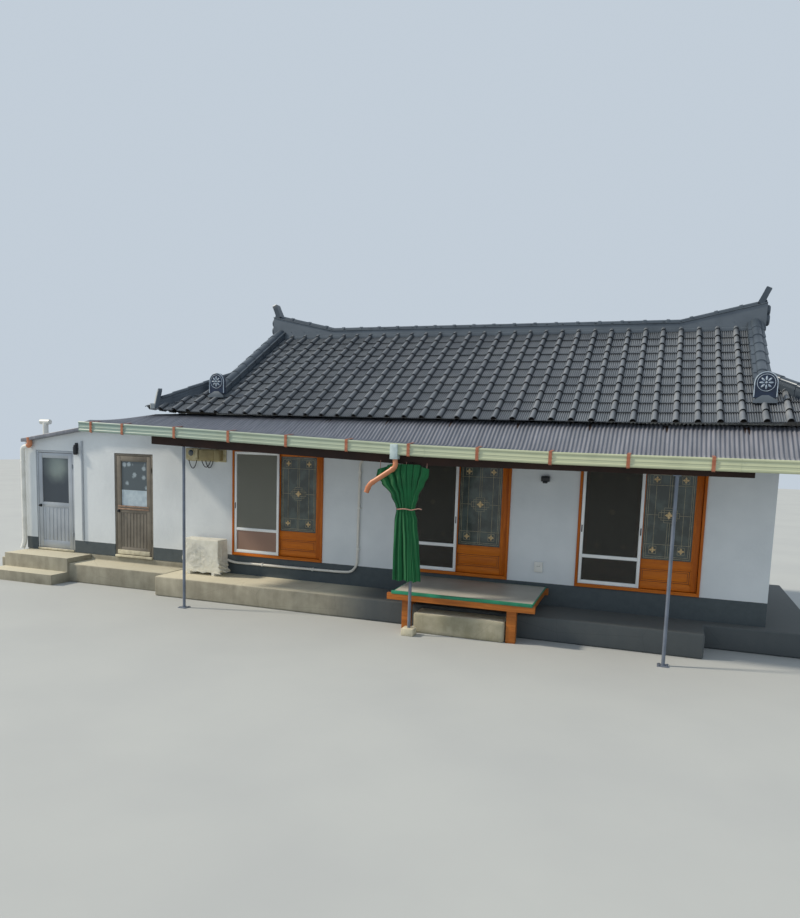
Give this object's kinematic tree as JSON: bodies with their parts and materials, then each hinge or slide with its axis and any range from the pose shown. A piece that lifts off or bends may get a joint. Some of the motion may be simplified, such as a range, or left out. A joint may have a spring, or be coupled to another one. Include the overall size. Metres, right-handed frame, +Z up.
{
  "type": "single-storey hanok house",
  "caption": "Plastered one-storey hanok house with a tiled hip-and-gable roof, a sheet awning on steel posts, sliding door units and low side rooms.",
  "frame": {"origin": "on the ground, under the middle of the main house's front wall face", "axes": "+Z up, -Y towards the front, +X to the right along the front"},
  "size_m": [14.503, 6.2714, 5.45],
  "materials": {
    "concrete": "trowelled concrete",
    "plaster": "painted plaster",
    "door_wood": "varnished timber",
    "screen_aluminium": "white powder coat",
    "kitchen_door_paint": "brown-grey paint",
    "washroom_door_aluminium": "mill finish",
    "window_aluminium": "white powder coat",
    "ridge_tile": "dark glazed coat",
    "roof_tile": "matt granule coat",
    "roof_sheet": "painted corrugated sheet",
    "gutter_paint": "satin paint",
    "dark_trim": "gloss paint",
    "post_steel": "satin paint",
    "deck_board": "vinyl sheet",
    "bench_wood": "varnished timber",
    "cover_fabric": "creased cover",
    "meter_plastic": "moulded",
    "shade_cloth": "woven net",
    "rain_pipe": "extruded"
  },
  "bodies": {
    "house": {"awning_beam": "dark_trim", "awning_post_1": "post_steel", "awning_post_2": "post_steel", "awning_post_3": "post_steel", "awning_sheet": "roof_sheet", "back_left_ridge": "ridge_tile", "back_right_ridge": "ridge_tile", "back_roof": "roof_tile", "back_wall": "plaster", "back_window_1": "window_aluminium", "back_window_2": "window_aluminium", "bench_frame": "bench_wood", "bench_top": "deck_board", "bench_trestle_left": "bench_wood", "bench_trestle_right": "bench_wood", "cooling_unit": "cover_fabric", "front_left_ridge": "ridge_tile", "front_pier_1": "plaster", "front_pier_2": "plaster", "front_pier_3": "plaster", "front_pier_4": "plaster", "front_right_ridge": "ridge_tile", "front_roof": "roof_tile", "front_wall_head": "plaster", "gutter": "gutter_paint", "gutter_outlet": "rain_pipe", "house_floor": "concrete", "kitchen_door_frame": "kitchen_door_paint", "kitchen_plinth": "concrete", "kitchen_roof": "concrete", "left_gable": "plaster", "left_hip_roof": "roof_tile", "left_wall": "plaster", "main_plinth": "concrete", "main_ridge": "ridge_tile", "meter_boxes": "meter_plastic", "right_gable": "plaster", "right_hip_roof": "roof_tile", "right_wall": "plaster", "right_window": "window_aluminium", "shade_curtain": "shade_cloth", "side_room_walls": "plaster", "side_wall_head": "plaster", "stone_step": "concrete", "unit_1_frame": "door_wood", "unit_2_frame": "door_wood", "unit_3_frame": "door_wood", "washroom_door_frame": "washroom_door_aluminium", "washroom_front_pier": "plaster", "washroom_roof": "roof_sheet", "washroom_step": "concrete"},
    "unit_1_screen": {"unit_1_screen": "screen_aluminium"},
    "unit_1_leaf": {"unit_1_leaf": "door_wood"},
    "unit_2_screen": {"unit_2_screen": "screen_aluminium"},
    "unit_2_leaf": {"unit_2_leaf": "door_wood"},
    "unit_3_screen": {"unit_3_screen": "screen_aluminium"},
    "unit_3_leaf": {"unit_3_leaf": "door_wood"},
    "kitchen_door_leaf": {"kitchen_door_leaf": "kitchen_door_paint"},
    "washroom_door_leaf": {"washroom_door_leaf": "washroom_door_aluminium"}
  },
  "joints": [
    {"name": "unit_1_screen_slide", "type": "slide", "parent": "house", "child": "unit_1_screen", "axis": [1, 0, 0], "range_m": [0, 0.8]},
    {"name": "unit_1_leaf_slide", "type": "slide", "parent": "house", "child": "unit_1_leaf", "axis": [-1, 0, 0], "range_m": [0, 0.8]},
    {"name": "unit_2_screen_slide", "type": "slide", "parent": "house", "child": "unit_2_screen", "axis": [1, 0, 0], "range_m": [0, 0.8]},
    {"name": "unit_2_leaf_slide", "type": "slide", "parent": "house", "child": "unit_2_leaf", "axis": [-1, 0, 0], "range_m": [0, 0.8]},
    {"name": "unit_3_screen_slide", "type": "slide", "parent": "house", "child": "unit_3_screen", "axis": [1, 0, 0], "range_m": [0, 0.8]},
    {"name": "unit_3_leaf_slide", "type": "slide", "parent": "house", "child": "unit_3_leaf", "axis": [-1, 0, 0], "range_m": [0, 0.8]},
    {"name": "kitchen_door_hinge", "type": "hinge", "parent": "house", "child": "kitchen_door_leaf", "pos_m": [-6.026, 0.001, 1.4], "axis": [0, 0, 1], "range_deg": [0, 95]},
    {"name": "washroom_door_hinge", "type": "hinge", "parent": "house", "child": "washroom_door_leaf", "pos_m": [-7.898, 0.001, 1.4], "axis": [0, 0, 1], "range_deg": [0, 95]}
  ]
}
